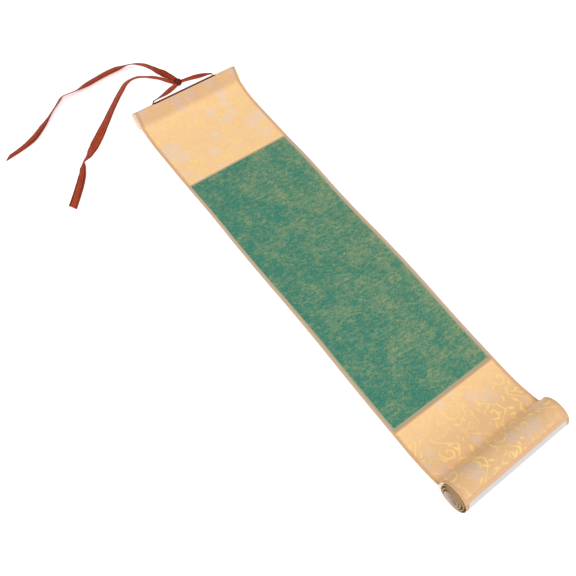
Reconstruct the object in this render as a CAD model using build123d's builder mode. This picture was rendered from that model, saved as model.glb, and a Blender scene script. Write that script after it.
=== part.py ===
from build123d import *
from math import cos, pi, radians, sin, tan
import os

# A small brocade-mounted paper scroll, lying part unrolled on a table.
# Millimetres, +Z up. The sheet runs along Y, with its batten at +Y and its roll at -Y.
# The origin is on the table under the middle of the scroll, the ribbon not counted.

# Mounted sheet
panel_width = 120.0
panel_length = 325.0
side_strip = 3.3
edging = 2.2
backing_thickness = 0.25
facing_thickness = 0.2
top_divider = 2.0
lower_divider = 4.5
roll_divider = 4.4
white_strip = 3.8
top_brocade_drop = 89.0
lower_brocade_length = 96.0

# Batten at the top, wrapped in the end of the sheet
batten_width = 16.0
batten_depth = 11.0
batten_back_radius = 2.0
batten_front_radius = 0.6
batten_tilt = 45.0
wrap_gap = 0.1

# How the sheet lies: it lifts to the batten, ripples, and rises to the roll
lift_angle = 21.0
lift_bend_radius = 6.0
wave_lead = 13.0
first_wave_share = 0.34
first_wave_height = 1.6
second_wave_share = 0.62
second_wave_height = 3.0
rise_radius = 143.0
rise_angle = 17.0
valley_radius = 3.5

# The loose roll, wound with its face outwards, its turns lying together at the bottom
roll_height = 29.6
flat_spot = 1.6
turns = 3
top_gap = 4.2
bottom_gap = 0.2
lap_angle = 29.0
free_end_angle = 110.0

# Ribbon
ribbon_width = 10.0
ribbon_thickness = 0.35
ribbon_span = 80.0
cord_radius = 1.0
arc_share = 0.45
knot_centre = (6.0, 282.3, 4.4)
knot_way = (-0.4, 0.92, 0.0)
knot_length = 7.0
knot_radius = 4.2
knot_chamfer = 1.2

# Places that the free stretches of the ribbon go round
left_leg_route = [
    (-39.4, 258.3, 15.4),
    (-36.0, 264.0, 16.2),
    (-28.0, 268.0, 13.0),
    (-16.0, 272.0, 8.5),
    (-3.0, 277.0, 5.5),
    (4.5, 280.5, 4.4),
]
right_leg_route = [
    (39.1, 258.0, 15.7),
    (38.5, 265.0, 15.0),
    (33.0, 271.5, 11.0),
    (21.5, 277.2, 7.0),
    (9.3, 281.0, 4.6),
]
long_tail_route = [
    (6.0, 284.0, 5.2),
    (1.0, 293.5, 7.5),
    (-6.0, 305.0, 8.5),
    (-12.0, 321.0, 8.0),
    (-24.0, 334.0, 6.0),
    (-48.0, 337.0, 5.0),
    (-75.0, 334.5, 5.0),
    (-97.0, 330.0, 5.0),
    (-113.0, 333.5, 5.0),
    (-130.0, 323.0, 5.0),
    (-148.0, 308.0, 4.0),
    (-173.0, 295.0, 2.0),
    (-200.0, 290.0, 1.2),
]
short_tail_route = [
    (3.0, 284.0, 3.4),
    (-5.0, 292.5, 3.0),
    (-14.0, 301.5, 3.6),
    (-25.0, 310.0, 4.6),
    (-38.0, 315.0, 5.0),
    (-53.0, 307.0, 5.0),
    (-73.0, 290.5, 5.0),
    (-94.0, 272.3, 5.0),
    (-114.0, 256.0, 5.0),
    (-130.0, 245.0, 5.0),
    (-141.0, 239.5, 5.0),
    (-146.5, 228.5, 4.5),
    (-161.0, 212.0, 3.0),
    (-176.0, 198.0, 1.2),
]

sheet_width = panel_width + 2 * (side_strip + edging)
sheet_thickness = backing_thickness + facing_thickness
sheet_side = sheet_width / 2
facing_side = sheet_side - edging
panel_side = panel_width / 2
white_side = sheet_side - white_strip


def bend(radius, turn):
    """Length and turn of an arc of the joint face between the backing and its facings."""
    return radius * radians(abs(turn)), turn


def wave(span, height):
    """Three tangent arcs that lift the sheet to a height and set it down again."""
    angle = 4 * height / span
    radius = span / (4 * sin(angle))
    turn = angle * 180 / pi
    return [bend(radius, -turn), bend(radius, 2 * turn), bend(radius, -turn)]


def advance(place, heading, length, turn):
    """Go along one straight or arc, with the turn in degrees and left positive."""
    y, z = place
    start = radians(heading)
    if turn == 0:
        return (y + length * cos(start), z + length * sin(start)), heading
    radius = length / radians(turn)
    end = radians(heading + turn)
    y += radius * (sin(end) - sin(start))
    z -= radius * (cos(end) - cos(start))
    return (y, z), heading + turn


def travel(place, heading, course):
    """Go along a whole course and return where each of its parts starts and it ends."""
    stops = [(place, heading)]
    for length, turn in course:
        place, heading = advance(place, heading, length, turn)
        stops.append((place, heading))
    return stops


def reach(course):
    """Total length of a course."""
    return sum(length for length, turn in course)


# The course of the sheet, seen from its left edge. It starts under the batten, where the
# wrap meets the back of the sheet, and the facings are on the right of the way it goes.
back_corner = batten_back_radius + backing_thickness
front_corner = batten_front_radius + backing_thickness
batten_wrap = [
    (batten_depth - batten_back_radius - wrap_gap, 0),
    bend(back_corner, 90),
    (batten_width - 2 * batten_back_radius, 0),
    bend(back_corner, 90),
    (batten_depth - batten_back_radius - batten_front_radius, 0),
    bend(front_corner, 90),
    (batten_width - batten_front_radius + sheet_thickness, 0),
]
wrap_heading = batten_tilt - 90

# The wrapped batten rests on its lower back corner, which sets how far the sheet lifts.
wrap_stops = travel((0, 0), wrap_heading, batten_wrap)
resting_corner = wrap_stops[1][0][1] + back_corner * sin(radians(wrap_heading + 90))
face_end_height = wrap_stops[-1][0][1] - resting_corner + back_corner + facing_thickness
bend_height = lift_bend_radius * (cos(radians(lift_angle)) - cos(radians(batten_tilt)))
lift_height = face_end_height - backing_thickness - bend_height
lift_radius = lift_height / (1 - cos(radians(lift_angle)))
lift = [bend(lift_bend_radius, lift_angle - batten_tilt), bend(lift_radius, -lift_angle)]

# Where each facing starts, measured along the joint face
face_end = reach(batten_wrap)
top_divider_start = face_end + top_brocade_drop
panel_start = top_divider_start + top_divider
lower_divider_start = panel_start + panel_length
lower_brocade_start = lower_divider_start + lower_divider
roll_divider_start = lower_brocade_start + lower_brocade_length
white_start = roll_divider_start + roll_divider

# The sheet comes to the roll a little above the table, turns up at its back and goes over.
roll_top = roll_height - facing_thickness
roll_bottom = facing_thickness
roll_radius = (roll_top - roll_bottom) / 2
rise_height = backing_thickness + rise_radius * (1 - cos(radians(rise_angle)))
valley_height = valley_radius * cos(radians(rise_angle))
climb = roll_top - roll_radius - rise_height - valley_height
onto_roll = [
    bend(rise_radius, -rise_angle),
    bend(valley_radius, rise_angle - 90),
    (climb, 0),
    bend(roll_radius, 90),
    (flat_spot, 0),
]

# The turns lie close at the bottom and open at the top, and each is pressed a little flat.
rolled = []
top = roll_top
bottom = roll_bottom
for turn in range(turns):
    rolled.append(bend((top - bottom) / 2, 180))
    rolled.append((flat_spot, 0))
    top -= sheet_thickness + top_gap
    rolled.append(bend((top - bottom) / 2, 180))
    rolled.append((flat_spot, 0))
    bottom += sheet_thickness + bottom_gap
rolled.append(bend((top - bottom) / 2, free_end_angle))

waves = wave(first_wave_share * panel_length, first_wave_height)
waves += wave(second_wave_share * panel_length, second_wave_height)
flat_above = panel_start - wave_lead - reach(batten_wrap + lift)
lap = roll_radius * radians(lap_angle)
flat_below = roll_divider_start - lap - reach(onto_roll) - (panel_start - wave_lead) - reach(waves)
course = batten_wrap + lift + [(flat_above, 0)] + waves + [(flat_below, 0)] + onto_roll + rolled
sheet_end = reach(course)

# The origin is under the middle, between the batten's far corner and the front of the roll.
stops = travel((0, 0), wrap_heading, course)
flat_place = stops[len(batten_wrap + lift)][0]
far_corner = stops[3][0][0] - back_corner * sin(radians(wrap_heading + 90)) + back_corner
roll_front_top = stops[len(course) - len(rolled)][0][0]
far_end = far_corner + facing_thickness
near_end = roll_front_top - roll_radius - facing_thickness
sheet_start = (-(far_end + near_end) / 2, backing_thickness - flat_place[1])

sheet_stops = travel(sheet_start, wrap_heading, course)


def edges_along(begin, finish, depth):
    """The pieces of an edge that runs at a depth from the joint face, facings side positive."""
    pieces = []
    station = 0
    for (place, heading), (length, turn) in zip(sheet_stops, course):
        first = max(begin - station, 0)
        last = min(finish - station, length)
        station += length
        if last - first < 1e-6:
            continue
        place, heading = advance(place, heading, first, turn * first / length)
        turn *= (last - first) / length
        side = radians(heading)
        origin = (place[0] + depth * sin(side), place[1] - depth * cos(side))
        pieces.append((origin, heading, last - first + depth * radians(turn), turn))
    return pieces


def draw(pieces):
    """Draw such an edge in the sketch that is open and return its two ends."""
    begin = pieces[0][0]
    end = begin
    for place, heading, length, turn in pieces:
        way = (cos(radians(heading)), sin(radians(heading)))
        if turn == 0:
            run = Line(end, advance(place, heading, length, turn)[0])
        else:
            run = JernArc(start=end, tangent=way, radius=length / radians(abs(turn)), arc_size=turn)
        end = run @ 1
    return begin, end


def layer(begin, finish, low, high, left, right):
    """A layer of the sheet between two stations, two depths and two places across it."""
    with BuildPart() as piece:
        with BuildSketch(Plane.YZ.offset(left)):
            with BuildLine():
                low_start, low_end = draw(edges_along(begin, finish, low))
                high_start, high_end = draw(edges_along(begin, finish, high))
                Line(low_start, high_start)
                Line(low_end, high_end)
            make_face()
        extrude(amount=right - left)
    return piece


def facing(begin, finish, left, right):
    """A piece of brocade or paper that is pasted on the backing."""
    return layer(begin, finish, 0, facing_thickness, left, right)


def finished(piece, name):
    """Name a piece and write it."""
    piece.part.label = name
    export_step(piece.part, "parts/" + name + ".step")


def cord(points, seat=None):
    """A plain tube along a route, cut back to the knot and to the plane that it starts on."""
    corners = [Vector(*point) for point in points]
    runs = [after - before for before, after in zip(corners, corners[1:])]
    radii = []
    for run, following in zip(runs, runs[1:]):
        half_turn = radians(run.get_angle(following) / 2)
        radii.append(arc_share * min(run.length, following.length) / tan(half_turn))
    with BuildPart() as tube:
        with BuildLine():
            route = FilletPolyline(*corners, radius=radii)
        with BuildSketch(Plane(origin=route @ 0, z_dir=route % 0)) as section:
            RegularPolygon(cord_radius, 6)
        sweep()
        add(ribbon_knot.part, mode=Mode.SUBTRACT)
        if seat:
            split(bisect_by=seat, keep=Keep.TOP)
    whole = section.sketch.area * route.length
    print("route", round(route.length, 1), "tightest", round(min(radii), 1))
    print("volume over section times length", round(tube.part.volume / whole, 3))
    return tube


os.makedirs("parts", exist_ok=True)

# The backing is one sheet, from the wrap round the batten to the free end in the roll.
backing_paper = layer(0, sheet_end, -backing_thickness, 0, -sheet_side, sheet_side)
finished(backing_paper, "backing_paper")

# Facings, from the batten to the roll
top_brocade = facing(0, top_divider_start, -facing_side, facing_side)
finished(top_brocade, "top_brocade")
top_strip = facing(top_divider_start, panel_start, -facing_side, facing_side)
finished(top_strip, "top_divider")
green_panel = facing(panel_start, lower_divider_start, -panel_side, panel_side)
finished(green_panel, "green_panel")
lower_strip = facing(lower_divider_start, lower_brocade_start, -facing_side, facing_side)
finished(lower_strip, "lower_divider")
lower_brocade = facing(lower_brocade_start, roll_divider_start, -facing_side, facing_side)
finished(lower_brocade, "lower_brocade")
roll_strip = facing(roll_divider_start, white_start, -facing_side, facing_side)
finished(roll_strip, "roll_divider")
white_panel = facing(white_start, sheet_end, -white_side, white_side)
finished(white_panel, "white_panel")

# Strips beside the green panel, the edging beside the brocade and them, and the strips
# that go on beside the white paper
for side, inner, outer in (("left", -facing_side, -panel_side), ("right", panel_side, facing_side)):
    beside_green = facing(panel_start, lower_divider_start, inner, outer)
    finished(beside_green, side + "_green_strip")
for side, inner, outer in (("left", -sheet_side, -facing_side), ("right", facing_side, sheet_side)):
    edge = facing(0, white_start, inner, outer)
    finished(edge, side + "_edging")
with BuildPart() as white_strips:
    add(facing(white_start, sheet_end, -sheet_side, -white_side).part)
    add(facing(white_start, sheet_end, white_side, sheet_side).part)
finished(white_strips, "white_strips")

# Batten: a plain wooden bar with eased edges, its wide side against the back of the sheet
wrap_way = (cos(radians(wrap_heading)), sin(radians(wrap_heading)))
face_way = (-wrap_way[1], wrap_way[0])
foot_y = sheet_start[0] - wrap_gap * wrap_way[0] + backing_thickness * face_way[0]
foot_z = sheet_start[1] - wrap_gap * wrap_way[1] + backing_thickness * face_way[1]
batten_foot = Plane(origin=(-sheet_side, foot_y, foot_z), x_dir=(0, *face_way), z_dir=(1, 0, 0))
with BuildPart() as top_batten:
    with BuildSketch(batten_foot):
        Rectangle(batten_width, batten_depth, align=(Align.MIN, Align.MAX))
    extrude(amount=sheet_width)
    long_edges = top_batten.edges().filter_by(Axis.X)
    back_edges = long_edges.sort_by(Axis(batten_foot.origin, batten_foot.y_dir))[:2]
    top_front_edge = long_edges.sort_by(Axis(batten_foot.origin, batten_foot.x_dir))[2:]
    fillet(back_edges, radius=batten_back_radius)
    fillet(top_front_edge.sort_by(Axis.Y)[0], radius=batten_front_radius)
finished(top_batten, "top_batten")

# Ribbon: one length of satin. Its middle is pasted flat along the top of the wrapped
# batten, folded back at both ends and tied, and its two tails lie loose on the table.
top_side, top_heading = sheet_stops[4]
top_middle, _ = advance(top_side, top_heading, batten_wrap[4][0] / 2, 0)
band_y = top_middle[0] + facing_thickness * face_way[0]
band_z = top_middle[1] + facing_thickness * face_way[1]
band_plane = Plane(origin=(0, band_y, band_z), x_dir=(1, 0, 0), z_dir=(0, *face_way))
with BuildPart() as ribbon_band:
    with BuildSketch(band_plane):
        Rectangle(ribbon_span, ribbon_width)
    extrude(amount=ribbon_thickness)
finished(ribbon_band, "ribbon_band")

# The knot is a tight turn of ribbon round the two lengths that pass through it.
with BuildPart(Plane(origin=knot_centre, z_dir=knot_way)) as ribbon_knot:
    Cylinder(knot_radius, knot_length)
    chamfer(ribbon_knot.edges().filter_by(GeomType.CIRCLE), knot_chamfer)
finished(ribbon_knot, "ribbon_knot")

band_top = band_plane.offset(ribbon_thickness)
ribbon_left_leg = cord(left_leg_route, band_top)
finished(ribbon_left_leg, "ribbon_left_leg")
ribbon_right_leg = cord(right_leg_route, band_top)
finished(ribbon_right_leg, "ribbon_right_leg")
ribbon_long_tail = cord(long_tail_route)
finished(ribbon_long_tail, "ribbon_long_tail")
ribbon_short_tail = cord(short_tail_route)
finished(ribbon_short_tail, "ribbon_short_tail")
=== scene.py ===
"""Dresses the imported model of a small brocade-mounted paper scroll."""

from math import ceil, cos, pi, radians, sin

import bpy
import numpy as np
from bpy.props import FloatProperty, FloatVectorProperty, IntProperty, PointerProperty
from bpy.types import NodeSocket, Operator, Panel, PropertyGroup
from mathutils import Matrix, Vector


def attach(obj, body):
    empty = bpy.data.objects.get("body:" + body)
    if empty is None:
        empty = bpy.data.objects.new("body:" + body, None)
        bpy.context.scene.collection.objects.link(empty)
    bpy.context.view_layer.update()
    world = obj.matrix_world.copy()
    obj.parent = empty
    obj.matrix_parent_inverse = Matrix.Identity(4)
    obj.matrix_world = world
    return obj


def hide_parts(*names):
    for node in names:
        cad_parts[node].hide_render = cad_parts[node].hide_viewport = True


bl_info = {
    "name": "Paper Scroll",
    "version": (1, 0, 0),
    "blender": (4, 2, 0),
    "location": "3D View > Sidebar > Scroll",
    "description": "Surfaces, ribbon and finishes for a brocade-mounted paper scroll",
    "category": "Object",
}

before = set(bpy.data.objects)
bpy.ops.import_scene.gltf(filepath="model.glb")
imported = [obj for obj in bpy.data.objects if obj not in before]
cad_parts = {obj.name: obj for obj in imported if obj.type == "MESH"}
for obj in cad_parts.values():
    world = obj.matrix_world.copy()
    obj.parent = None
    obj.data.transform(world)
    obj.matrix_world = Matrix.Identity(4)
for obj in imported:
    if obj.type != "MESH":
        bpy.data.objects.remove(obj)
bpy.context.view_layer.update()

# How finely the sheet and the ribbon are divided, and the angle at which an edge is sharp
GRID_PITCH = 0.0025
GRID_TURN = radians(7)
LINE_PITCH = 0.0012
SHARP_ANGLE = radians(40)

# The two ways on a piece's own surface
ACROSS = 0
ALONG = 1

# Where the two pieces of brocade are cut from the bolt
UPPER_CUT = (0.625, 0.449, 0.0)
LOWER_CUT = (1.938, 1.496, 0.0)


def length(name, description, default):
    """A property that holds a length in metres."""
    return FloatProperty(
        name=name, description=description, default=default, unit="LENGTH", precision=5
    )


def angle(name, description, default):
    """A property that holds an angle, given here in degrees."""
    return FloatProperty(
        name=name, description=description, default=radians(default), subtype="ANGLE"
    )


def share(name, description, default):
    """A property that holds a plain factor."""
    return FloatProperty(name=name, description=description, default=default, subtype="FACTOR")


def colour(name, description, red, green, blue):
    """A property that holds a colour, given here as it looks on a screen, from 0 to 255."""
    shown = np.array((red, green, blue)) / 255
    linear = np.where(shown <= 0.04045, shown / 12.92, ((shown + 0.055) / 1.055) ** 2.4)
    return FloatVectorProperty(
        name=name, description=description, default=(*linear.tolist(), 1.0), size=4, subtype="COLOR"
    )


class ScrollSheetSizes(PropertyGroup):
    """Sizes of the mounted sheet and of the way that it lies."""

    panel_width: length("Panel width", "Width of the green panel", 0.120)
    panel_length: length("Panel length", "Length of the green panel", 0.325)
    side_strip: length("Side strip", "Width of the strip beside the green panel", 0.0033)
    edging: length("Edging", "Width of the edging of the sheet", 0.0022)
    left_margin_top: length("Left margin, top", "From the left edge to the green paper", 0.0034)
    left_margin_low: length("Left margin, below", "The same at the green paper's lower end", 0.0046)
    right_margin: length("Right margin", "From the right edge to the green paper", 0.0046)
    white_strip: length("White side strip", "Width of the strip beside the white paper", 0.0038)
    backing: length("Backing", "Thickness of the backing paper", 0.00025)
    facing: length("Facing", "Thickness of the brocade and papers pasted on the backing", 0.0002)
    top_divider: length("Top divider", "Width of the strip above the green panel", 0.002)
    lower_divider: length("Lower divider", "Width of the strip below the green panel", 0.0045)
    roll_divider: length("Roll divider", "Width of the strip before the white paper", 0.0044)
    top_brocade: length("Top brocade", "Brocade below the batten", 0.089)
    lower_brocade: length("Lower brocade", "Brocade below the green panel", 0.096)
    batten_width: length("Batten width", "Wide side of the batten", 0.016)
    batten_depth: length("Batten depth", "Narrow side of the batten", 0.011)
    batten_back_radius: length("Batten back radius", "Easing of the batten's back edges", 0.002)
    batten_front_radius: length("Batten front radius", "Easing of its top front edge", 0.0006)
    batten_tilt: angle("Batten tilt", "How far the batten lies turned from flat", 45)
    wrap_gap: length("Wrap gap", "From the wrap's end to the back of the sheet", 0.0001)
    lift_angle: angle("Lift angle", "Slope of the sheet where it meets the batten", 21)
    lift_bend_radius: length("Lift bend radius", "Bend of the sheet below the batten", 0.006)
    wave_lead: length("Wave lead", "How far the first ripple starts above the panel", 0.013)
    first_wave_share: share("First ripple", "Its share of the panel's length", 0.34)
    first_wave_height: length("First ripple height", "How far it lifts the sheet", 0.0016)
    second_wave_share: share("Second ripple", "Its share of the panel's length", 0.62)
    second_wave_height: length("Second ripple height", "How far it lifts the sheet", 0.003)
    ripple_skew: length("Ripple skew", "How far the ripples run ahead at the right edge", 0.009)
    rise_radius: length("Rise radius", "Bend where the sheet leaves the table for the roll", 0.143)
    rise_angle: angle("Rise angle", "Slope of the sheet before the roll", 17)
    valley_radius: length("Valley radius", "Bend in the valley behind the roll", 0.0035)
    roll_height: length("Roll height", "Height of the roll over the table", 0.0296)
    turns: IntProperty(name="Turns", description="Full turns of the roll past its top", default=3)
    flat_spot: length("Flat spot", "How far each turn is pressed flat", 0.0016)
    top_gap: length("Top gap", "Room between the turns at the top of the roll", 0.0042)
    bottom_gap: length("Bottom gap", "Room between the turns at its bottom", 0.0002)
    lap_angle: angle("Lap angle", "How far over the roll's top the brocade reaches", 29)
    free_end_angle: angle("Free end", "How far the inner end of the sheet goes round", 110)


class ScrollRibbonSizes(PropertyGroup):
    """Sizes of the satin ribbon."""

    width: length("Width", "Width of the ribbon", 0.010)
    leg_width: length("Leg width", "Width where it is gathered towards the knot", 0.007)
    thickness: length("Thickness", "Thickness of the ribbon", 0.00035)
    span: length("Span", "Length of the ribbon that is pasted along the batten", 0.080)
    knot_radius: length("Knot radius", "Radius of the knot", 0.0042)
    knot_length: length("Knot length", "Length of the knot", 0.009)


class ScrollColours(PropertyGroup):
    """Colours of the papers, brocade, wood and ribbon."""

    brocade: colour("Brocade ground", "Satin ground of the brocade", 251, 206, 150)
    vine: colour("Vines", "Gold thread of the vines and leaves", 255, 216, 132)
    blossom: colour("Blossoms", "Pale thread of the blossoms", 242, 211, 184)
    edging: colour("Edging", "Edging of the sheet, down to the white paper", 222, 174, 128)
    grey_edging: colour("Grey edging", "Edging along the green paper", 200, 178, 154)
    green: colour("Green paper", "Ground of the green paper", 48, 126, 104)
    fleck: colour("Gold fleck", "Mottling of the green paper", 152, 162, 112)
    light_strip: colour("Light strip", "Strips beside the green paper", 176, 164, 134)
    dark_strip: colour("Dark strip", "Darker bands of the dividers", 184, 158, 124)
    roll_strip: colour("Roll strip", "Strip before the white paper", 226, 178, 134)
    side_strip: colour("White side strip", "Strips beside the white paper", 196, 166, 124)
    white: colour("White paper", "Paper that is rolled up", 211, 204, 202)
    backing: colour("Backing", "Back of the mounting", 216, 186, 142)
    backing_end: colour("Backing end", "Back of the sheet's rolled end", 224, 206, 192)
    wood: colour("Wood", "Bare wood at the batten's ends", 250, 226, 208)
    ribbon: colour("Ribbon", "Satin of the ribbon", 156, 62, 36)
    table: colour("Table", "Floor under the scroll", 255, 255, 255)


class Value:
    """A number that a material's nodes work out, for use in sums like a plain number."""

    def __init__(self, finish, socket):
        self.finish = finish
        self.socket = socket

    def __add__(self, other):
        return self.finish.math("ADD", self, other)

    def __sub__(self, other):
        return self.finish.math("SUBTRACT", self, other)

    def __rsub__(self, other):
        return self.finish.math("SUBTRACT", other, self)

    def __mul__(self, other):
        return self.finish.math("MULTIPLY", self, other)

    def __truediv__(self, other):
        return self.finish.math("DIVIDE", self, other)

    def __mod__(self, other):
        return self.finish.math("FLOORED_MODULO", self, other)

    def __abs__(self):
        return self.finish.math("ABSOLUTE", self)


class Finish:
    """A material, whose nodes are added one short call at a time."""

    def __init__(self, name, roughness, **settings):
        self.material = bpy.data.materials.new(name)
        self.material.use_nodes = True
        self.tree = self.material.node_tree
        self.shader = self.tree.nodes["Principled BSDF"]
        self.shader.inputs["Roughness"].default_value = roughness
        for socket, value in settings.items():
            self.shader.inputs[socket.replace("_", " ")].default_value = value

    def feed(self, socket, value):
        """Link an output to a socket, or set a plain value on it."""
        if isinstance(value, Value):
            value = value.socket
        if isinstance(value, NodeSocket):
            self.tree.links.new(value, socket)
        else:
            socket.default_value = value

    def node(self, kind, settings, *values, **inputs):
        """A node with some settings, the values of its first inputs and of named ones."""
        node = self.tree.nodes.new(kind)
        for name, value in settings.items():
            setattr(node, name, value)
        for socket, value in zip(node.inputs, values):
            self.feed(socket, value)
        for name, value in inputs.items():
            self.feed(node.inputs[name.replace("_", " ")], value)
        return node

    def math(self, operation, *values):
        """The result of a sum on one or two numbers."""
        node = self.node("ShaderNodeMath", {"operation": operation}, *values)
        return Value(self, node.outputs[0])

    def vector(self, operation, *values):
        """The result of a sum on vectors."""
        return self.node("ShaderNodeVectorMath", {"operation": operation}, *values).outputs[0]

    def scaled(self, vector, factors):
        """A vector with each part multiplied by its own factor."""
        return self.vector("MULTIPLY", vector, factors)

    def parts(self, vector):
        """The three parts of a vector."""
        node = self.node("ShaderNodeSeparateXYZ", {}, vector)
        return [Value(self, part) for part in node.outputs]

    def place(self):
        """Where a point lies on the sheet or ribbon, in metres across and along it."""
        return self.node("ShaderNodeAttribute", {"attribute_name": "place"}).outputs["Vector"]

    def position(self):
        """Where a point lies on its object, in metres."""
        return self.node("ShaderNodeTexCoord", {}).outputs["Object"]

    def noise_node(self, vector, scale, detail, roughness=0.5, distortion=0.0):
        """The noise node at some scale."""
        return self.node(
            "ShaderNodeTexNoise", {}, Vector=vector, Scale=scale, Detail=detail,
            Roughness=roughness, Distortion=distortion,
        )

    def noise(self, *settings):
        """The strength of a noise, from 0 to 1."""
        return Value(self, self.noise_node(*settings).outputs[0])

    def pushed(self, reach, place, *settings):
        """A place that a noise pushes about, across and along, by up to half a reach."""
        noise = self.noise_node(place, *settings).outputs[1]
        push = self.vector("SUBTRACT", noise, (0.5, 0.5, 0.5))
        return self.vector("ADD", place, self.scaled(push, (reach, reach, 0.0)))

    def cells(self, vector, scale, randomness):
        """The nearest cell of a flat lattice of scattered points."""
        return self.node(
            "ShaderNodeTexVoronoi", {"voronoi_dimensions": "2D"}, Vector=vector, Scale=scale,
            Randomness=randomness,
        )

    def step(self, value, low, high):
        """A smooth step from 0 at low to 1 at high."""
        smooth = {"interpolation_type": "SMOOTHSTEP"}
        node = self.node("ShaderNodeMapRange", smooth, value, low, high)
        return Value(self, node.outputs[0])

    def within(self, value, low, high):
        """A smooth step from 1 at low to 0 at high."""
        return 1 - self.step(value, low, high)

    def mix(self, factor, first, second):
        """A colour between two others."""
        node = self.node("ShaderNodeMix", {"data_type": "RGBA"})
        self.feed(node.inputs[0], factor)
        self.feed(node.inputs[6], first)
        self.feed(node.inputs[7], second)
        return node.outputs[2]

    def shade(self, tone, factor):
        """A colour made lighter or darker by a factor."""
        plain = tone if isinstance(tone, NodeSocket) else tone[:3]
        node = self.node("ShaderNodeVectorMath", {"operation": "SCALE"}, plain, Scale=factor)
        return node.outputs[0]

    def bump(self, height, distance):
        """Feed a height, in parts of a distance in metres, to the shader as bump."""
        node = self.node("ShaderNodeBump", {}, Height=height, Distance=distance, Strength=1.0)
        self.feed(self.shader.inputs["Normal"], node.outputs[0])

    def paint(self, tone):
        """Feed a colour to the shader."""
        self.feed(self.shader.inputs["Base Color"], tone)
        return self.material


def paper_bump(finish, place, distance):
    """Fine fibres and the soft unevenness of pasted paper."""
    fibres = finish.noise(finish.scaled(place, (1.0, 0.35, 1.0)), 2600, 3)
    swell = finish.noise(place, 90, 2)
    finish.bump(swell * 2 + fibres, distance)


def vine_pattern(finish, warped):
    """Gold vines on a place in metres: wavy stems with a spiral in the hollow of each bend.

    The brocade is parted in columns, with a stem in each along a sine of the way along. A
    spiral's thread lies where the turn counted from its middle, less the turn of the angle,
    is a whole number and a half."""
    column_width = 0.030
    bend_length = 0.019
    stem_swing = 0.26
    spiral_pitch = 0.0072
    across, along, _ = finish.parts(warped)
    column = across / column_width
    odd_column = finish.math("FLOOR", column) % 2
    bends = along / bend_length + odd_column * 0.7
    in_column = finish.math("FRACT", column) - 0.5
    in_bend = finish.math("FRACT", bends) - 0.5

    swing = finish.math("SINE", bends * pi) * stem_swing
    stems = finish.within(abs(in_column - swing) * column_width, 0.0003, 0.0012)

    side = 1 - finish.math("FLOOR", bends) % 2 * 2
    x = (in_column * side + 0.1) * column_width
    y = in_bend * bend_length
    radius = finish.math("SQRT", x * x + y * y)
    turned = finish.math("ARCTAN2", y, x) / (2 * pi)
    spiral = finish.math("FRACT", radius / spiral_pitch - turned)
    thread = finish.within(abs(spiral - 0.5) * spiral_pitch, 0.0004, 0.0014)
    scrolls = thread * finish.within(radius, 0.0072, 0.0086)
    return finish.math("MAXIMUM", scrolls, stems)


def leaf_pattern(finish, warped):
    """Pointed leaves round scattered points, each turned its own way and some left out.

    A leaf's edge is where twice the distance across it, and 200 times the square of the
    distance along it, add up to a fixed length."""
    leaf = finish.cells(warped, 118, 0.9)
    x, y, _ = finish.parts(finish.vector("SUBTRACT", warped, leaf.outputs["Position"]))
    tilt, pick, _ = finish.parts(leaf.outputs["Color"])
    cosine = finish.math("COSINE", tilt * pi)
    sine = finish.math("SINE", tilt * pi)
    long_way = x * cosine + y * sine
    short_way = y * cosine - x * sine
    edge = abs(short_way * 2) + long_way * long_way * 200
    return finish.within(edge, 0.0014, 0.0034) * finish.math("GREATER_THAN", pick, 0.25)


def blossom_pattern(finish, warped, colours):
    """Where pale five-petalled blossoms lie, in groups, and their colour.

    A blossom's radius goes up and down with the cosine of five times the angle."""
    bloom = finish.cells(warped, 66, 0.7)
    middle = bloom.outputs["Position"]
    group = finish.cells(middle, 25, 0.8)
    grouped = finish.within(group.outputs["Distance"], 0.33, 0.35)
    x, y, _ = finish.parts(finish.vector("SUBTRACT", warped, middle))
    turn, size, _ = finish.parts(bloom.outputs["Color"])
    radius = finish.math("SQRT", x * x + y * y)
    petal = finish.math("COSINE", finish.math("ARCTAN2", y, x) * 5 + turn * (2 * pi))
    edge = petal * 0.0010 + 0.0050 + size * 0.0020
    petals = finish.step(edge - radius, -0.0016, 0.0016)
    eye = finish.within(radius, 0.0008, 0.0024)
    ring = finish.within(abs(radius - 0.0034), 0.0001, 0.0010)
    pale = finish.mix(ring * 0.45, colours.blossom, colours.brocade)
    pale = finish.mix(eye * 0.6, pale, colours.vine)
    return petals * grouped, pale


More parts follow.
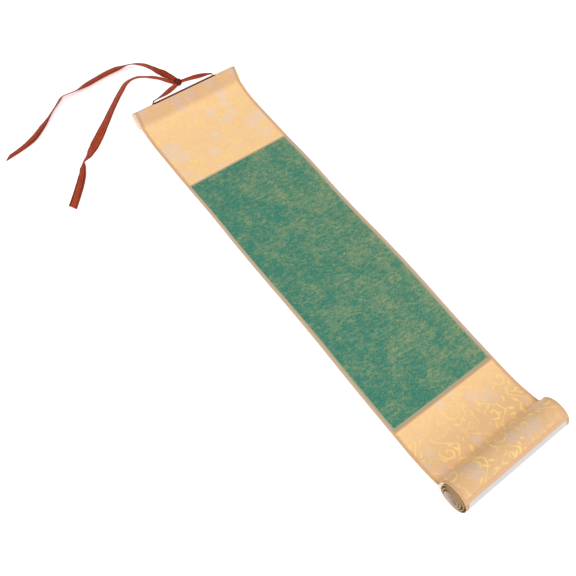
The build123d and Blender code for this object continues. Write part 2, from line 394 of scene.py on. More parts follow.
def brocade_finish(name, colours, facing_side, cut_at):
    """Satin brocade with gold vines and pale blossoms, cut from its own place on the bolt.

    It has painted shade on the batten's face and towards the roll, painted light in the
    valley behind the roll, and takes the edging's tone along its sides."""
    finish = Finish(name, 0.62, Sheen_Weight=0.15)
    place = finish.place()
    bolt = finish.vector("ADD", place, cut_at)
    warped = finish.pushed(0.012, bolt, 45, 3, 0.6)
    vines = vine_pattern(finish, warped)
    gold = finish.math("MAXIMUM", vines, leaf_pattern(finish, warped))
    blossoms, pale = blossom_pattern(finish, warped, colours)
    patchy = finish.step(finish.noise(bolt, 42, 3), 0.34, 0.62)
    grain = finish.noise(bolt, 520, 2, 0.6)
    uneven = (grain * 1.2 + finish.noise(bolt, 70, 3)) * 0.13 + 0.87

    batten_front, batten_foot = 0.0490, 0.0580
    rise_begin, rise_end = 0.470, 0.530
    valley_place = 0.531
    across, station, _ = finish.parts(place)
    tone = finish.mix(blossoms * 0.85, colours.brocade, pale)
    # Painted shade: the brocade is darkened and warmed towards the roll, where the sheet rises into
    # the valley.
    painted_rise_shade = finish.step(station, rise_begin, rise_end)
    tone = finish.mix(painted_rise_shade, tone, finish.scaled(tone, (0.81, 0.78, 0.77)))
    at_side = finish.step(abs(across), facing_side - 0.0024, facing_side - 0.0004)
    tone = finish.mix(at_side * 0.9, tone, colours.edging)
    covered = finish.math("MAXIMUM", blossoms, at_side)
    gold = gold * (patchy * 0.7 + 0.25) * (1 - covered * 0.85)
    tone = finish.shade(finish.mix(gold, tone, colours.vine), uneven)
    # Painted light: the brocade is lightened in the valley behind the roll, against the shade that
    # falls there.
    painted_valley_light = finish.step(abs(station - valley_place), 0.018, 0.002)
    tone = finish.shade(tone, painted_valley_light * 0.25 + 1)
    # Painted shade: the brocade on the batten's sloping face is darkened.
    painted_batten_shade = finish.step(station, batten_foot, batten_front)
    tone = finish.mix(painted_batten_shade, tone, finish.scaled(tone, (0.81, 0.77, 0.82)))

    thread_pitch = 0.0004
    threads = finish.math("SINE", station * (2 * pi / thread_pitch))
    finish.bump(threads * 0.12 + finish.math("MAXIMUM", gold, blossoms), 0.00008)
    return finish.paint(tone)


def green_finish(colours):
    """Green paper with wispy gold mottling that is denser on the right."""
    finish = Finish("green_paper", 0.7)
    place = finish.place()
    across = finish.parts(place)[ACROSS]
    warped = finish.pushed(0.005, place, 260, 2)
    wisps = finish.noise(finish.scaled(warped, (0.55, 1.2, 1.0)), 260, 5, 0.7)
    fleck = finish.noise(finish.scaled(place, (0.7, 1.2, 1.0)), 900, 2, 0.6)
    patches = finish.noise(place, 38, 3, 0.6)
    vein = finish.noise(finish.scaled(warped, (0.8, 1.1, 1.0)), 190, 3, 0.6)
    vein = finish.step(abs(vein - 0.5), 0.035, 0.0)
    amount = wisps + fleck * 0.5 + patches * 0.55 + across * 0.8 + vein * 0.10
    amount = finish.step(amount, 0.90, 1.32)
    tint = finish.noise(finish.scaled(place, (0.7, 1.2, 1.0)), 560, 3, 0.6)
    tone = finish.mix(amount * 0.80, colours.green, colours.fleck)
    paper_bump(finish, place, 0.00003)
    return finish.paint(finish.shade(tone, tint * 1.5 + 0.26))


def strip_paint(finish, place, tone):
    """Give strip paper its unevenness and bump, and paint it."""
    uneven = finish.noise(place, 400, 3)
    paper_bump(finish, place, 0.00003)
    return finish.paint(finish.shade(tone, uneven * 0.24 + 0.88))


def strip_finish(name, tones, edges, direction, start=0.0):
    """Paper in bands of several tones, with soft borders at some distances from the start."""
    finish = Finish(name, 0.75)
    place = finish.place()
    distance = abs(finish.parts(place)[direction] - start)
    softness = 0.0005
    tone = tones[0]
    for edge, following in zip(edges, tones[1:]):
        tone = finish.mix(finish.step(distance, edge - softness, edge + softness), tone, following)
    return strip_paint(finish, place, tone)


def edging_finish(colours, sheet):
    """Tan edging paper, greyer along the green paper."""
    finish = Finish("edging", 0.75)
    place = finish.place()
    station = finish.parts(place)[ALONG]
    softness = 0.001
    beside, past = (
        finish.step(station, border - softness, border + softness)
        for border in (sheet.panel_begin, sheet.lower_divider_begin)
    )
    tone = finish.mix(beside - past, colours.edging, colours.grey_edging)
    return strip_paint(finish, place, tone)


def plain_paper_finish(name, tone, end_tone=None, end_begin=0.0):
    """Plain paper with faint fibres and clouding, and an end tone from some station on."""
    finish = Finish(name, 0.8)
    place = finish.place()
    if end_tone:
        fade = 0.008
        past = finish.step(finish.parts(place)[ALONG], end_begin, end_begin + fade)
        tone = finish.mix(past, tone, end_tone)
    cloud = finish.noise(place, 60, 3)
    fibre = finish.noise(finish.scaled(place, (1.0, 0.3, 1.0)), 1500, 3)
    paper_bump(finish, place, 0.00004)
    return finish.paint(finish.shade(tone, cloud * 0.06 + fibre * 0.06 + 0.94))


def wood_finish(colours):
    """Plain sawn wood with its grain along the batten."""
    finish = Finish("batten_wood", 0.7)
    place = finish.position()
    grain = finish.noise(finish.scaled(place, (0.05, 1.0, 1.0)), 900, 4, 0.6, 0.4)
    rings = finish.noise(finish.scaled(place, (0.02, 1.0, 1.0)), 260, 2)
    finish.bump(grain, 0.0001)
    return finish.paint(finish.shade(colours.wood, grain * 0.3 + rings * 0.3 + 0.7))


def satin_finish(colours, name, selvedge_and_shade_depth, selvedge_and_shade_width):
    """Satin ribbon: fine threads, a soft gloss, and a dark line near each side that is part
    selvedge, part painted shade.
    """
    finish = Finish(name, 0.55, Specular_IOR_Level=0.12)
    place = finish.place()
    threads = finish.noise(finish.scaled(place, (1.0, 0.015, 1.0)), 800, 2)
    cloud = finish.noise(place, 150, 2)
    dark_line_place = 0.0036
    # The dark line near each side is partly selvedge and partly painted shade of the ribbon's
    # edges.
    selvedge_and_shade = abs(abs(finish.parts(place)[ACROSS]) - dark_line_place)
    selvedge_and_shade = finish.step(selvedge_and_shade, selvedge_and_shade_width + 0.0006, selvedge_and_shade_width)
    factor = finish.step(threads, 0.3, 0.7) + cloud * 0.8 + 0.22
    finish.bump(threads, 0.00004)
    return finish.paint(finish.shade(colours.ribbon, factor * (1 - selvedge_and_shade * selvedge_and_shade_depth)))


def table_finish(colours):
    """Smooth pale board with a trace of unevenness, which glows a little."""
    finish = Finish("table", 0.9, Emission_Color=(1.0, 1.0, 1.0, 1.0), Emission_Strength=0.4)
    cloud = finish.noise(finish.position(), 3, 2)
    return finish.paint(finish.shade(colours.table, cloud * 0.01 + 0.99))


def bend(radius, turn):
    """Length and turn of an arc, with the turn in radians and left positive."""
    return radius * abs(turn), turn


def ripple(span, height):
    """Three tangent arcs that lift the sheet to a height and set it down again.

    The outer two turn by four times the height over the span, and the middle one back by
    twice that. The radius is the span over four times the sine of the first turn."""
    turn = 4 * height / span
    radius = span / (4 * sin(turn))
    return [bend(radius, -turn), bend(radius, 2 * turn), bend(radius, -turn)]


def reach(pieces):
    """Total length of some straights and arcs."""
    return sum(run for run, _ in pieces)


class SheetCourse:
    """The line of the face where the backing meets its facings, seen from the left edge.

    It is a row of straights and tangent arcs. With a heading h at a piece's start and a
    curvature k, the place at a length t along it lies (sin(h + k t) - sin h) / k further in
    Y and (cos h - cos(h + k t)) / k higher, or t cos h and t sin h where k is 0."""

    def __init__(self, heading, pieces):
        runs, turns = np.array(pieces).T
        self.ends = np.cumsum(runs)
        self.begins = self.ends - runs
        self.curves = turns / runs
        self.headings = heading + np.cumsum(turns) - turns
        steps = self.moved(np.arange(len(runs)), runs)
        self.start_y = np.cumsum(steps[0]) - steps[0]
        self.start_z = np.cumsum(steps[1]) - steps[1]

    def moved(self, piece, run):
        """How far the line goes in Y and Z along a run of a piece."""
        heading = self.headings[piece]
        curve = self.curves[piece]
        straight = curve == 0
        safe = np.where(straight, 1, curve)
        turned = heading + curve * run
        y = np.where(straight, run * np.cos(heading), (np.sin(turned) - np.sin(heading)) / safe)
        z = np.where(straight, run * np.sin(heading), (np.cos(heading) - np.cos(turned)) / safe)
        return y, z

    def at(self, stations):
        """Y, Z and heading at some stations along the line."""
        piece = np.clip(np.searchsorted(self.ends, stations), 0, len(self.ends) - 1)
        run = stations - self.begins[piece]
        y, z = self.moved(piece, run)
        heading = self.headings[piece] + self.curves[piece] * run
        return self.start_y[piece] + y, self.start_z[piece] + z, heading

    def stations(self, begin, finish, pitch, turn):
        """Stations between two others, no further apart than a pitch and a turn."""
        marks = [np.array((begin, finish))]
        for start, end, curve in zip(self.begins, self.ends, self.curves):
            run = end - start
            count = max(ceil(run / pitch), ceil(abs(curve) * run / turn))
            marks.append(np.linspace(start, end, count + 1))
        marks = np.concatenate(marks)
        return np.unique(np.round(marks[(marks >= begin) & (marks <= finish)], 7))


class MountedSheet:
    """Where the mounted sheet lies, from the wrap round the batten to its end in the roll.

    After the wrap come the slope down to the table, two ripples, the bend up to the roll
    and its turns. A turn is two half circles parted by flat spots. Its top and its bottom
    each close in by a thickness and a gap."""

    def __init__(self, sizes):
        self.sizes = sizes
        back_corner = sizes.batten_back_radius + sizes.backing
        front_corner = sizes.batten_front_radius + sizes.backing
        thickness = sizes.backing + sizes.facing
        wrap = [
            (sizes.batten_depth - sizes.batten_back_radius - sizes.wrap_gap, 0),
            bend(back_corner, pi / 2),
            (sizes.batten_width - 2 * sizes.batten_back_radius, 0),
            bend(back_corner, pi / 2),
            (sizes.batten_depth - sizes.batten_back_radius - sizes.batten_front_radius, 0),
            bend(front_corner, pi / 2),
            (sizes.batten_width - sizes.batten_front_radius + thickness, 0),
        ]
        low_bend, far_bend, top_side = 1, 3, 4
        heading = sizes.batten_tilt - pi / 2
        wrapped = SheetCourse(heading, wrap)
        low_centre = wrapped.start_z[low_bend] + back_corner * sin(heading + pi / 2)
        face_end_height = wrapped.at(reach(wrap))[1] - low_centre + back_corner + sizes.facing
        bend_height = sizes.lift_bend_radius * (cos(sizes.lift_angle) - cos(sizes.batten_tilt))
        lift_height = face_end_height - sizes.backing - bend_height
        lift_radius = lift_height / (1 - cos(sizes.lift_angle))
        lift = [
            bend(sizes.lift_bend_radius, sizes.lift_angle - sizes.batten_tilt),
            bend(lift_radius, -sizes.lift_angle),
        ]
        self.panel_begin = reach(wrap) + sizes.top_brocade + sizes.top_divider
        self.top_divider_begin = self.panel_begin - sizes.top_divider
        self.lower_divider_begin = self.panel_begin + sizes.panel_length
        self.lower_brocade_begin = self.lower_divider_begin + sizes.lower_divider
        self.roll_divider_begin = self.lower_brocade_begin + sizes.lower_brocade
        self.white_begin = self.roll_divider_begin + sizes.roll_divider
        waves = ripple(sizes.first_wave_share * sizes.panel_length, sizes.first_wave_height)
        waves += ripple(sizes.second_wave_share * sizes.panel_length, sizes.second_wave_height)
        top = sizes.roll_height - sizes.facing
        bottom = sizes.facing
        radius = (top - bottom) / 2
        rise_height = sizes.backing + sizes.rise_radius * (1 - cos(sizes.rise_angle))
        climb = top - radius - rise_height - sizes.valley_radius * cos(sizes.rise_angle)
        onto_roll = [
            bend(sizes.rise_radius, -sizes.rise_angle),
            bend(sizes.valley_radius, sizes.rise_angle - pi / 2),
            (climb, 0),
            bend(radius, pi / 2),
            (sizes.flat_spot, 0),
        ]
        rolled = []
        for _ in range(sizes.turns):
            rolled += [bend((top - bottom) / 2, pi), (sizes.flat_spot, 0)]
            top -= thickness + sizes.top_gap
            rolled += [bend((top - bottom) / 2, pi), (sizes.flat_spot, 0)]
            bottom += thickness + sizes.bottom_gap
        rolled.append(bend((top - bottom) / 2, sizes.free_end_angle))
        above = self.panel_begin - sizes.wave_lead - reach(wrap + lift)
        lap = radius * sizes.lap_angle
        below = self.roll_divider_begin - lap - reach(onto_roll) - reach(waves)
        below -= self.panel_begin - sizes.wave_lead
        pieces = wrap + lift + [(above, 0)] + waves + [(below, 0)] + onto_roll + rolled
        self.end = reach(pieces)
        self.course = SheetCourse(heading, pieces)
        self.flat_z = self.course.start_z[len(wrap + lift)]
        far_centre = self.course.start_y[far_bend] - back_corner * sin(heading + pi / 2)
        roll_front = self.course.start_y[len(pieces) - len(rolled)] - radius
        self.middle_y = (far_centre + back_corner + roll_front) / 2
        self.band_station = (self.course.begins[top_side] + self.course.ends[top_side]) / 2
        self.side = sizes.panel_width / 2 + sizes.side_strip + sizes.edging
        self.facing_side = self.side - sizes.edging
        self.white_side = self.side - sizes.white_strip

    def points(self, stations, x, depth):
        """Points at a depth from the joint face, facings side positive, and their places.

        A point lies off the line by its depth, square to the heading. The ripples run a
        little ahead on one side: there the stations are shifted by the place across, times
        the square of a sine that is 0 at both ends of the panel."""
        station = np.broadcast_to(stations[:, None], x.shape)
        share = np.clip((station - self.panel_begin) / self.sizes.panel_length, 0, 1)
        shift = self.sizes.ripple_skew * x / self.side * np.sin(pi * share) ** 2
        y, z, heading = self.course.at(station + shift)
        y = y - self.middle_y + depth * np.sin(heading)
        z = z - self.flat_z + self.sizes.backing - depth * np.cos(heading)
        place = np.stack((x, station, np.zeros_like(x)), axis=-1)
        return np.stack((x, y, z), axis=-1), place

    def layer(self, name, begin, finish, left, right, low, high, columns):
        """A closed layer of the sheet between two stations, two sides and two depths.

        A side is its place across the sheet, or a pair of places at begin and finish."""
        stations = self.course.stations(begin, finish, GRID_PITCH, GRID_TURN)
        ends = (begin, finish)
        sides = [np.interp(stations, ends, np.broadcast_to(side, 2)) for side in (left, right)]
        x = np.linspace(*sides, columns + 1, axis=1)
        lower, place = self.points(stations, x, low)
        upper, _ = self.points(stations, x, high)
        return shell(name, upper, lower, place)

    def facing(self, name, begin, finish, left, right, columns):
        """A closed layer that is pasted on the backing."""
        return self.layer(name, begin, finish, left, right, 0, self.sizes.facing, columns)


def shell(name, upper, lower, place):
    """A closed mesh between two grids of points, walled round their border.

    Each row of the lower grid and the same row of the upper one, backwards, make a ring."""
    ring = np.concatenate((lower, upper[:, ::-1]), axis=1)
    return tube(name, ring, np.concatenate((place, place[:, ::-1]), axis=1))


def tube(name, ring, place):
    """A closed mesh from a grid of points whose rows are rings.

    The rings are joined in order. The first and the last are closed across, with four-sided
    faces between the points of a ring's first half and those of its second, backwards."""
    rows, count = ring.shape[:2]
    index = np.arange(rows * count).reshape(rows, count)
    following = np.roll(index, -1, axis=1)
    sides = np.stack((index[:-1], index[1:], following[1:], following[:-1]), axis=-1)
    near = np.arange(count // 2 - 1)
    cap = np.stack((near, near + 1, count - 2 - near, count - 1 - near), axis=-1)
    faces = np.concatenate((sides.reshape(-1, 4), index[0][cap], index[-1][cap][:, ::-1]))
    return built(name, ring.reshape(-1, 3), faces, place.reshape(-1, 3))


def built(name, points, faces, place):
    """A mesh object from points and four-sided faces, turned so that its volume is positive.

    The volume is the sum over the faces of their two triangles' triple products."""
    a, b, c, d = (points[faces[:, corner]] for corner in range(4))
    volume = np.sum(a * np.cross(b, c)) + np.sum(a * np.cross(c, d))
    if volume < 0:
        faces = faces[:, ::-1]
    mesh = bpy.data.meshes.new(name)
    mesh.from_pydata(points.tolist(), [], faces.tolist())
    mesh.shade_smooth()
    mesh.set_sharp_from_angle(angle=SHARP_ANGLE)
    attribute = mesh.attributes.new("place", "FLOAT_VECTOR", "POINT")
    attribute.data.foreach_set("vector", place.astype(np.float32).ravel())
    piece = bpy.data.objects.new(name, mesh)
    bpy.context.scene.collection.objects.link(piece)
    return piece


def dressed(piece, material, node):
    """Give a piece its finish and slot, and let it stand for a node of the model."""
    piece.data.materials.append(material)
    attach(piece, "root")
    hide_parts(node)


def settings(context):
    """The sheet, the ribbon's sizes and the colours of a scene."""
    scene = context.scene
    return MountedSheet(scene.scroll_sheet), scene.scroll_ribbon, scene.scroll_colours


class SCROLL_OT_backing(Operator):
    """Make the backing paper, one sheet from the batten to its end in the roll."""

    bl_idname = "scroll.backing"
    bl_label = "Backing paper"

    def execute(self, context):
        """Build the layer below the joint face."""
        sheet, _, colours = settings(context)
        side, depth = sheet.side, sheet.sizes.backing
        backing = sheet.layer("backing", 0, sheet.end, -side, side, -depth, 0, columns=16)
        pale_end = 0.060
        material = plain_paper_finish(
            "backing_paper", colours.backing, colours.backing_end, sheet.end - pale_end
        )
        dressed(backing, material, "backing_paper")
        return {"FINISHED"}


class SCROLL_OT_brocade(Operator):
    """Make the two pieces of brocade."""

    bl_idname = "scroll.brocade"
    bl_label = "Brocade"

    def execute(self, context):
        """Build the brocade above and below the green panel."""
        sheet, _, colours = settings(context)
        side = sheet.facing_side
        rows = (
            ("brocade_above", 0, sheet.top_divider_begin, UPPER_CUT, "top_brocade"),
            ("brocade_below", sheet.lower_brocade_begin, sheet.roll_divider_begin,
             LOWER_CUT, "lower_brocade"),
        )
        for name, begin, finish, cut_at, node in rows:
            piece = sheet.facing(name, begin, finish, -side, side, columns=24)
            dressed(piece, brocade_finish(name, colours, side, cut_at), node)
        return {"FINISHED"}


class SCROLL_OT_panel(Operator):
    """Make the green panel and the strips beside it."""

    bl_idname = "scroll.panel"
    bl_label = "Green panel"

    def execute(self, context):
        """Build the green paper and its two side strips."""
        sheet, _, colours = settings(context)
        sizes = sheet.sizes
        begin, finish = sheet.panel_begin, sheet.lower_divider_begin
        outer = sheet.facing_side
        slant = (-sheet.side + sizes.left_margin_top, -sheet.side + sizes.left_margin_low)
        inner = sheet.side - sizes.right_margin
        panel = sheet.facing("panel", begin, finish, slant, inner, columns=32)
        dressed(panel, green_finish(colours), "green_panel")
        tones = (colours.light_strip, colours.edging)
        outer_line = 0.0004
        material = strip_finish("side_strip", tones, (outer - outer_line,), ACROSS)
        left = sheet.facing("strip_left", begin, finish, -outer, slant, columns=4)
        right = sheet.facing("strip_right", begin, finish, inner, outer, columns=4)
        dressed(left, material, "left_green_strip")
        dressed(right, material, "right_green_strip")
        return {"FINISHED"}


class SCROLL_OT_dividers(Operator):
    """Make the strips that part the brocade from the papers."""

    bl_idname = "scroll.dividers"
    bl_label = "Dividers"

    def execute(self, context):
        """Build the three strips across the sheet.

        Each has its tones in bands, which end at some distances from its upper side."""
        sheet, _, colours = settings(context)
        side = sheet.facing_side
        light, dark, edging = colours.light_strip, colours.dark_strip, colours.edging
        rows = (
            ("divider_top", sheet.top_divider_begin, sheet.panel_begin,
             (edging, light), (0.0014,), "top_divider"),
            ("divider_low", sheet.lower_divider_begin, sheet.lower_brocade_begin,
             (light, dark, edging), (0.0014, 0.0032), "lower_divider"),
            ("divider_roll", sheet.roll_divider_begin, sheet.white_begin,
             (dark, colours.roll_strip, dark), (0.0002, 0.0041), "roll_divider"),
        )
        for name, begin, finish, tones, edges, node in rows:
            strip = sheet.facing(name, begin, finish, -side, side, columns=8)
            material = strip_finish(node, tones, edges, ALONG, begin)
            dressed(strip, material, node)
        return {"FINISHED"}


class SCROLL_OT_white(Operator):
    """Make the white paper that is rolled up, and the strips beside it."""

    bl_idname = "scroll.white"
    bl_label = "White paper"

    def execute(self, context):
        """Build the white paper and its two side strips."""
        sheet, _, colours = settings(context)
        begin, finish = sheet.white_begin, sheet.end
        inner, outer = sheet.white_side, sheet.side
        white = sheet.facing("white", begin, finish, -inner, inner, columns=16)
        material = plain_paper_finish("white_paper", colours.white)
        dressed(white, material, "white_panel")
        material = strip_finish("white_strip", (colours.side_strip,), (), ACROSS)
        for name, left, right in (("left", -outer, -inner), ("right", inner, outer)):
            strip = sheet.facing("white_strip_" + name, begin, finish, left, right, columns=3)
            dressed(strip, material, "white_strips")
        return {"FINISHED"}


class SCROLL_OT_edging(Operator):
    bl_idname = "scroll.edging"
    bl_label = "Edging"

    def execute(self, context):
        """Build the two narrow strips at the edges."""
        sheet, _, colours = settings(context)
        inner, outer = sheet.facing_side, sheet.side
        material = edging_finish(colours, sheet)
        for name, left, right in (("left", -outer, -inner), ("right", inner, outer)):
            strip = sheet.facing("edging_" + name, 0, sheet.white_begin, left, right, columns=3)
            dressed(strip, material, name + "_edging")
        return {"FINISHED"}


class SCROLL_OT_batten(Operator):
    """Give the batten its wood."""

    bl_idname = "scroll.batten"
    bl_label = "Batten"

    def execute(self, context):
        """Put the wood finish on the batten of the model."""
        material = wood_finish(context.scene.scroll_colours)
        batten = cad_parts["top_batten"]
        batten.data.materials.clear()
        batten.data.materials.append(material)
        return {"FINISHED"}


def millimetres(*points):
    """Points given in millimetres, in metres."""
    return np.array(points) / 1000


LEFT_LEG = millimetres(
    (-39.4, 258.3, 15.4), (-41.2, 260.0, 15.7), (-37.5, 263.0, 15.5), (-30.5, 265.8, 14.0),
    (-16.0, 272.2, 8.5), (-3.0, 277.0, 5.5), (4.5, 280.5, 4.4),
)
RIGHT_LEG = millimetres(
    (39.1, 258.0, 15.7), (40.3, 262.5, 15.8), (36.5, 266.2, 14.4), (29.0, 271.5, 11.0),
    (19.3, 277.9, 6.7), (8.8, 281.3, 4.6),
)
LONG_TAIL = millimetres(
    (6.0, 284.0, 5.2), (1.0, 293.5, 7.5), (-6.0, 305.0, 8.5), (-12.0, 321.0, 8.0),
    (-24.0, 334.0, 6.0), (-48.0, 337.0, 5.0), (-75.0, 334.2, 5.0), (-95.0, 331.0, 5.0),
    (-106.0, 331.6, 5.0), (-114.0, 332.2, 5.0), (-121.0, 326.5, 5.0), (-136.0, 316.0, 5.0),
    (-150.0, 307.0, 3.8), (-173.0, 293.5, 2.0), (-200.0, 290.0, 1.2),
)
SHORT_TAIL = millimetres(
    (3.0, 284.0, 3.4), (-4.0, 293.5, 3.2), (-9.0, 301.0, 3.2), (-20.0, 309.0, 4.0),
    (-30.0, 314.0, 4.6), (-42.0, 312.5, 5.0), (-53.0, 306.0, 5.0), (-73.0, 290.5, 5.0),
    (-94.0, 272.3, 5.0), (-114.0, 256.0, 5.0), (-130.0, 245.0, 5.0), (-141.0, 239.5, 5.0),
    (-146.5, 228.5, 4.5), (-161.0, 212.0, 3.0), (-176.0, 198.0, 1.2),
)
KNOT_CENTRE = (0.006, 0.2823, 0.0044)
KNOT_WAY = (-0.4, 0.92, 0.0)


def smooth_line(route):
    """Evenly spaced points of the quadratic B-spline of a route, and how far along they lie.

    The spline starts and ends with the route and bends towards its other points."""
    curve = bpy.data.curves.new("route", "CURVE")
    curve.dimensions = "3D"
    curve.resolution_u = 24
    spline = curve.splines.new("NURBS")
    spline.points.add(len(route) - 1)
    spline.points.foreach_set("co", np.column_stack((route, np.ones(len(route)))).ravel())
    spline.order_u = 3
    spline.use_endpoint_u = True
    holder = bpy.data.objects.new("route", curve)
    traced = bpy.data.meshes.new_from_object(holder)
    points = np.empty(3 * len(traced.vertices))
    traced.vertices.foreach_get("co", points)
    points = points.reshape(-1, 3)
    bpy.data.objects.remove(holder)
    bpy.data.curves.remove(curve)
    bpy.data.meshes.remove(traced)
    steps = np.linalg.norm(np.diff(points, axis=0), axis=1)
    marks = np.concatenate(([0], np.cumsum(steps)))
    even = np.linspace(0, marks[-1], ceil(marks[-1] / LINE_PITCH) + 1)
    return np.stack([np.interp(even, marks, points[:, axis]) for axis in range(3)], axis=1), even


def eased(positions, marks, values):
    """Values between marks, each step eased by three times its square less twice its cube."""
    marks = np.array(marks)
    values = np.array(values, float)
    step = np.clip(np.searchsorted(marks, positions, side="right") - 1, 0, len(marks) - 2)
    part = np.clip((positions - marks[step]) / (marks[step + 1] - marks[step]), 0, 1)
    return values[step] + (values[step + 1] - values[step]) * part * part * (3 - 2 * part)


def ribbon_strip(name, width, thickness, route, twists, widths, cup, cut):
    """A flat ribbon that follows a route, as a closed mesh.

    At each point the level side way is turned up about the route by the twist, and the
    ribbon spreads along it to both sides. It is hollowed by cup times its half width times
    the square of the place across, less 0.4. Its far end is cut on a slant, cut metres long
    from side to side, that dies away with the square of the way back through the tip zone.
    Where a point would lie below the table, it is lifted onto it."""
    line, marks = smooth_line(route)
    ahead = np.gradient(line, axis=0)
    ahead /= np.linalg.norm(ahead, axis=1)[:, None]
    side = np.stack((ahead[:, 1], -ahead[:, 0], np.zeros(len(line))), axis=1)
    side /= np.linalg.norm(side, axis=1)[:, None]
    up = np.cross(side, ahead)
    total = marks[-1]
    turn = np.radians(eased(marks / total, *twists))[:, None]
    wide = eased(marks / total, *widths)[:, None] * width / 2
    spread = side * np.cos(turn) + up * np.sin(turn)
    normal = up * np.cos(turn) - side * np.sin(turn)
    columns = 10
    across = np.linspace(-1, 1, columns + 1)
    tip_zone = 0.030
    near_tip = np.clip((marks - total + tip_zone) / tip_zone, 0, 1)[:, None] ** 2
    slide = near_tip * cut * across[None, :] / 2
    middle = line[:, None, :] + ahead[:, None, :] * slide[:, :, None]
    middle = middle + spread[:, None, :] * (wide * across)[:, :, None]
    middle = middle + normal[:, None, :] * (cup * wide * (across**2 - 0.4))[:, :, None]
    half = normal[:, None, :] * thickness / 2
    upper = middle + half
    lower = middle - half
    floor = thickness / 2
    lift = np.maximum(floor - np.minimum(upper[..., 2], lower[..., 2]), 0)
    upper[..., 2] += lift
    lower[..., 2] += lift
    flat = np.broadcast_arrays(across[None, :] * width / 2, marks[:, None] + slide, 0.0)
    return shell(name, upper, lower, np.stack(flat, axis=-1)), line, total


class SCROLL_OT_ribbon(Operator):
    """Make the free stretches of the ribbon: two legs to the knot and two tails."""

    bl_idname = "scroll.ribbon"
    bl_label = "Ribbon"

    def execute(self, context):
        """Build the four stretches.

        Twists in degrees and shares of the width go with marks, as shares of the length."""
        _, ribbon, colours = settings(context)
        # A thin dark line near each side: partly selvedge, partly painted shade of the ribbon's
        # edges.
        material = satin_finish(colours, "ribbon", 0.5, 0.0003)
        width = ribbon.width
        leg = ribbon.leg_width
        stretches = (
            ("leg_left", leg, LEFT_LEG,
             ((0, 0.05, 0.1, 0.2, 0.75, 1), (-80, -92, -112, -122, -80, -66)),
             ((0, 0.7, 1), (1.0, 1.0, 0.7)), 0.1, 0, "ribbon_left_leg", "knot"),
            ("leg_right", leg, RIGHT_LEG, ((0, 0.05, 0.1, 0.5, 1), (108, 116, 127, 96, 92)),
             ((0, 0.5, 1), (1.0, 1.0, 0.7)), 0.1, 0, "ribbon_right_leg", "knot"),
            ("tail_long", width, LONG_TAIL,
             ((0, 0.05, 0.10, 0.15, 0.20, 0.24, 0.32, 0.46, 0.55, 0.62, 0.70, 0.80, 0.88, 1),
              (30, 74, 92, 106, 120, 134, 164, 160, 134, 130, 126, 152, 168, 180)),
             ((0, 0.08, 0.80, 1), (0.45, 1, 1, 0.46)), 0.15, 0.008, "ribbon_long_tail", "bare"),
            ("tail_short", width, SHORT_TAIL,
             ((0, 0.1, 0.15, 0.2, 0.3, 0.4, 0.5, 0.6, 0.65, 0.7, 0.745, 0.8, 0.85, 0.9, 1),
              (60, 100, 117, 114, 84, 78, 68, 52, 50, 72, 103, 140, 160, 172, 180)),
             ((0, 0.16, 0.3, 0.7, 0.75, 0.8, 1), (0.45, 0.6, 0.95, 1, 0.8, 0.95, 0.9)), 0.15, 0.002,
             "ribbon_short_tail", "bare"),
        )
        for name, wide, route, twists, widths, cup, cut, node, far_end in stretches:
            piece, line, total = ribbon_strip(
                name, wide, ribbon.thickness, route, twists, widths, cup, cut
            )
            dressed(piece, material, node)
        return {"FINISHED"}


class SCROLL_OT_band(Operator):
    """Make the stretch of ribbon that is pasted along the batten."""

    bl_idname = "scroll.band"
    bl_label = "Ribbon band"

    def execute(self, context):
        """Build a flat strip on the batten's top side, as thick as two layers of ribbon.

        Each point lies along that side by its place across the ribbon, and out from the
        joint face by the brocade's thickness."""
        sheet, ribbon, colours = settings(context)
        layers, rows, columns = 2, 81, 13
        y, z, heading = sheet.course.at(sheet.band_station)
        way = np.array((0, np.cos(heading), np.sin(heading)))
        out = np.array((0, np.sin(heading), -np.cos(heading)))
        middle = np.array((0, y - sheet.middle_y, z - sheet.flat_z + sheet.sizes.backing))
        x, along = np.meshgrid(
            np.linspace(-ribbon.span / 2, ribbon.span / 2, rows),
            np.linspace(-ribbon.width / 2, ribbon.width / 2, columns), indexing="ij",
        )
        lower = middle + along[..., None] * way + sheet.sizes.facing * out
        lower[..., 0] = x
        upper = lower + layers * ribbon.thickness * out
        place = np.stack((along, x, np.zeros_like(x)), axis=-1)
        band = shell("band", upper, lower, place)
        # Painted shade: the dark lines are widened here to darken the band towards both edges,
        # where it lies on edge in shade.
        dressed(band, satin_finish(colours, "ribbon_band", 0.85, 0.0014), "ribbon_band")
        return {"FINISHED"}


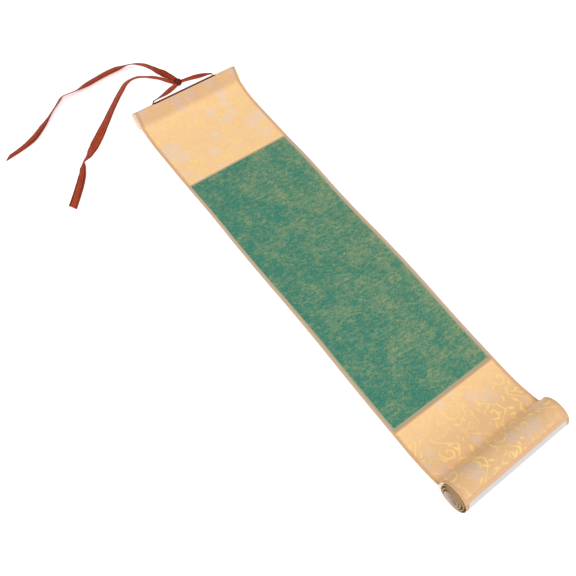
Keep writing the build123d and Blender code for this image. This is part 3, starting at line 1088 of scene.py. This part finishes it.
class SCROLL_OT_knot(Operator):
    """Make the knot, a tight turn of ribbon round the lengths that pass through it."""

    bl_idname = "scroll.knot"
    bl_label = "Knot"

    def execute(self, context):
        """Build a closed barrel that is ridged along its turn by the ribbon's folds.

        Its radius falls with the cube of the place along the knot, under a root, and goes up
        and down with waves round it, on a slant and dying away towards both ends."""
        _, ribbon, colours = settings(context)
        squeeze, fold_depth, fold_count, fold_slant = 0.93, 0.14, 3, 5
        rings, points_round = 25, 48
        way = np.array(KNOT_WAY) / np.linalg.norm(KNOT_WAY)
        side = np.array((way[1], -way[0], 0))
        up = np.array((0, 0, 1.0))
        along, turn = np.meshgrid(
            np.linspace(-1, 1, rings), np.linspace(0, 2 * pi, points_round, endpoint=False),
            indexing="ij",
        )
        swell = np.sqrt(np.clip(1 - squeeze * np.abs(along) ** 3, 0, 1))
        folds = np.sin(fold_count * turn + fold_slant * along) * (1 - along**2)
        radius = ribbon.knot_radius * swell * (1 - fold_depth + fold_depth * folds)
        out = np.cos(turn)[..., None] * side + np.sin(turn)[..., None] * up
        half = along * ribbon.knot_length / 2
        points = np.array(KNOT_CENTRE) + half[..., None] * way + radius[..., None] * out
        place = np.stack((half, turn * ribbon.knot_radius, np.zeros_like(turn)), axis=-1)
        knot = tube("knot", points, place)
        # Painted shade: the dark lines are so wide here that they darken most of the knot.
        dressed(knot, satin_finish(colours, "ribbon_knot", 0.7, 0.0030), "ribbon_knot")
        return {"FINISHED"}


def lamp(name, location, size, power):
    """A square soft light that points at the middle of the scene."""
    light = bpy.data.lights.new(name, "AREA")
    light.shape = "SQUARE"
    light.size = size
    light.energy = power
    holder = bpy.data.objects.new(name, light)
    holder.location = location
    holder.rotation_euler = (-Vector(location)).to_track_quat("-Z", "Y").to_euler()
    bpy.context.scene.collection.objects.link(holder)


class SCROLL_OT_stage(Operator):
    """Make the table, the soft studio light and the camera."""

    bl_idname = "scroll.stage"
    bl_label = "Stage"

    def execute(self, context):
        """Lay a pale table, hang two soft lights and set the camera."""
        scene = context.scene
        mesh = bpy.data.meshes.new("table")
        half = 3.0
        corners = [(-half, -half, 0), (half, -half, 0), (half, half, 0), (-half, half, 0)]
        mesh.from_pydata(corners, [], [(0, 1, 2, 3)])
        mesh.materials.append(table_finish(scene.scroll_colours))
        table = bpy.data.objects.new("table", mesh)
        scene.collection.objects.link(table)

        lamp("key_light", (-0.7, -1.7, 3.0), size=1.8, power=60)
        lamp("fill_light", (0.3, 1.3, 1.8), size=1.4, power=4)
        world = bpy.data.worlds.new("studio")
        world.use_nodes = True
        glow = world.node_tree.nodes["Background"].inputs
        glow["Color"].default_value = (1.0, 1.0, 1.0, 1.0)
        glow["Strength"].default_value = 0.53
        scene.world = world

        lens = bpy.data.cameras.new("camera")
        lens.lens = 45.40
        lens.sensor_width = 36.0
        lens.clip_start = 0.01
        camera = bpy.data.objects.new("camera", lens)
        camera.location = (-0.3043, -0.2420, 0.6251)
        camera.rotation_euler = (radians(28.815), radians(-4.957), radians(-37.419))
        scene.collection.objects.link(camera)
        scene.camera = camera
        scene.view_settings.view_transform = "Standard"
        scene.view_settings.look = "None"
        return {"FINISHED"}


class SCROLL_PT_sidebar(Panel):
    """The scroll's sizes, colours and pieces in the sidebar."""

    bl_label = "Paper scroll"
    bl_idname = "SCROLL_PT_sidebar"
    bl_space_type = "VIEW_3D"
    bl_region_type = "UI"
    bl_category = "Scroll"

    def draw(self, context):
        """List the settings, and a button for each operator."""
        scene = context.scene
        for group in (scene.scroll_sheet, scene.scroll_ribbon, scene.scroll_colours):
            column = self.layout.column(align=True)
            for name in type(group).__annotations__:
                column.prop(group, name)
        for operator in OPERATORS:
            self.layout.operator(operator.bl_idname)


GROUPS = (ScrollSheetSizes, ScrollRibbonSizes, ScrollColours)
OPERATORS = (
    SCROLL_OT_stage,
    SCROLL_OT_ribbon,
    SCROLL_OT_band,
    SCROLL_OT_knot,
    SCROLL_OT_backing,
    SCROLL_OT_brocade,
    SCROLL_OT_panel,
    SCROLL_OT_dividers,
    SCROLL_OT_white,
    SCROLL_OT_edging,
    SCROLL_OT_batten,
)
CLASSES = GROUPS + OPERATORS + (SCROLL_PT_sidebar,)


def register():
    """Register the settings, the operators and the panel."""
    for kind in CLASSES:
        bpy.utils.register_class(kind)
    bpy.types.Scene.scroll_sheet = PointerProperty(type=ScrollSheetSizes)
    bpy.types.Scene.scroll_ribbon = PointerProperty(type=ScrollRibbonSizes)
    bpy.types.Scene.scroll_colours = PointerProperty(type=ScrollColours)


def unregister():
    """Take them away again."""
    del bpy.types.Scene.scroll_sheet
    del bpy.types.Scene.scroll_ribbon
    del bpy.types.Scene.scroll_colours
    for kind in reversed(CLASSES):
        bpy.utils.unregister_class(kind)


def main():
    """Make every piece in order."""
    register()
    bpy.ops.scroll.stage()
    bpy.ops.scroll.ribbon()
    bpy.ops.scroll.band()
    bpy.ops.scroll.knot()
    bpy.ops.scroll.backing()
    bpy.ops.scroll.brocade()
    bpy.ops.scroll.panel()
    bpy.ops.scroll.dividers()
    bpy.ops.scroll.white()
    bpy.ops.scroll.edging()
    bpy.ops.scroll.batten()
    bpy.context.view_layer.update()


if __name__ == "__main__":
    main()
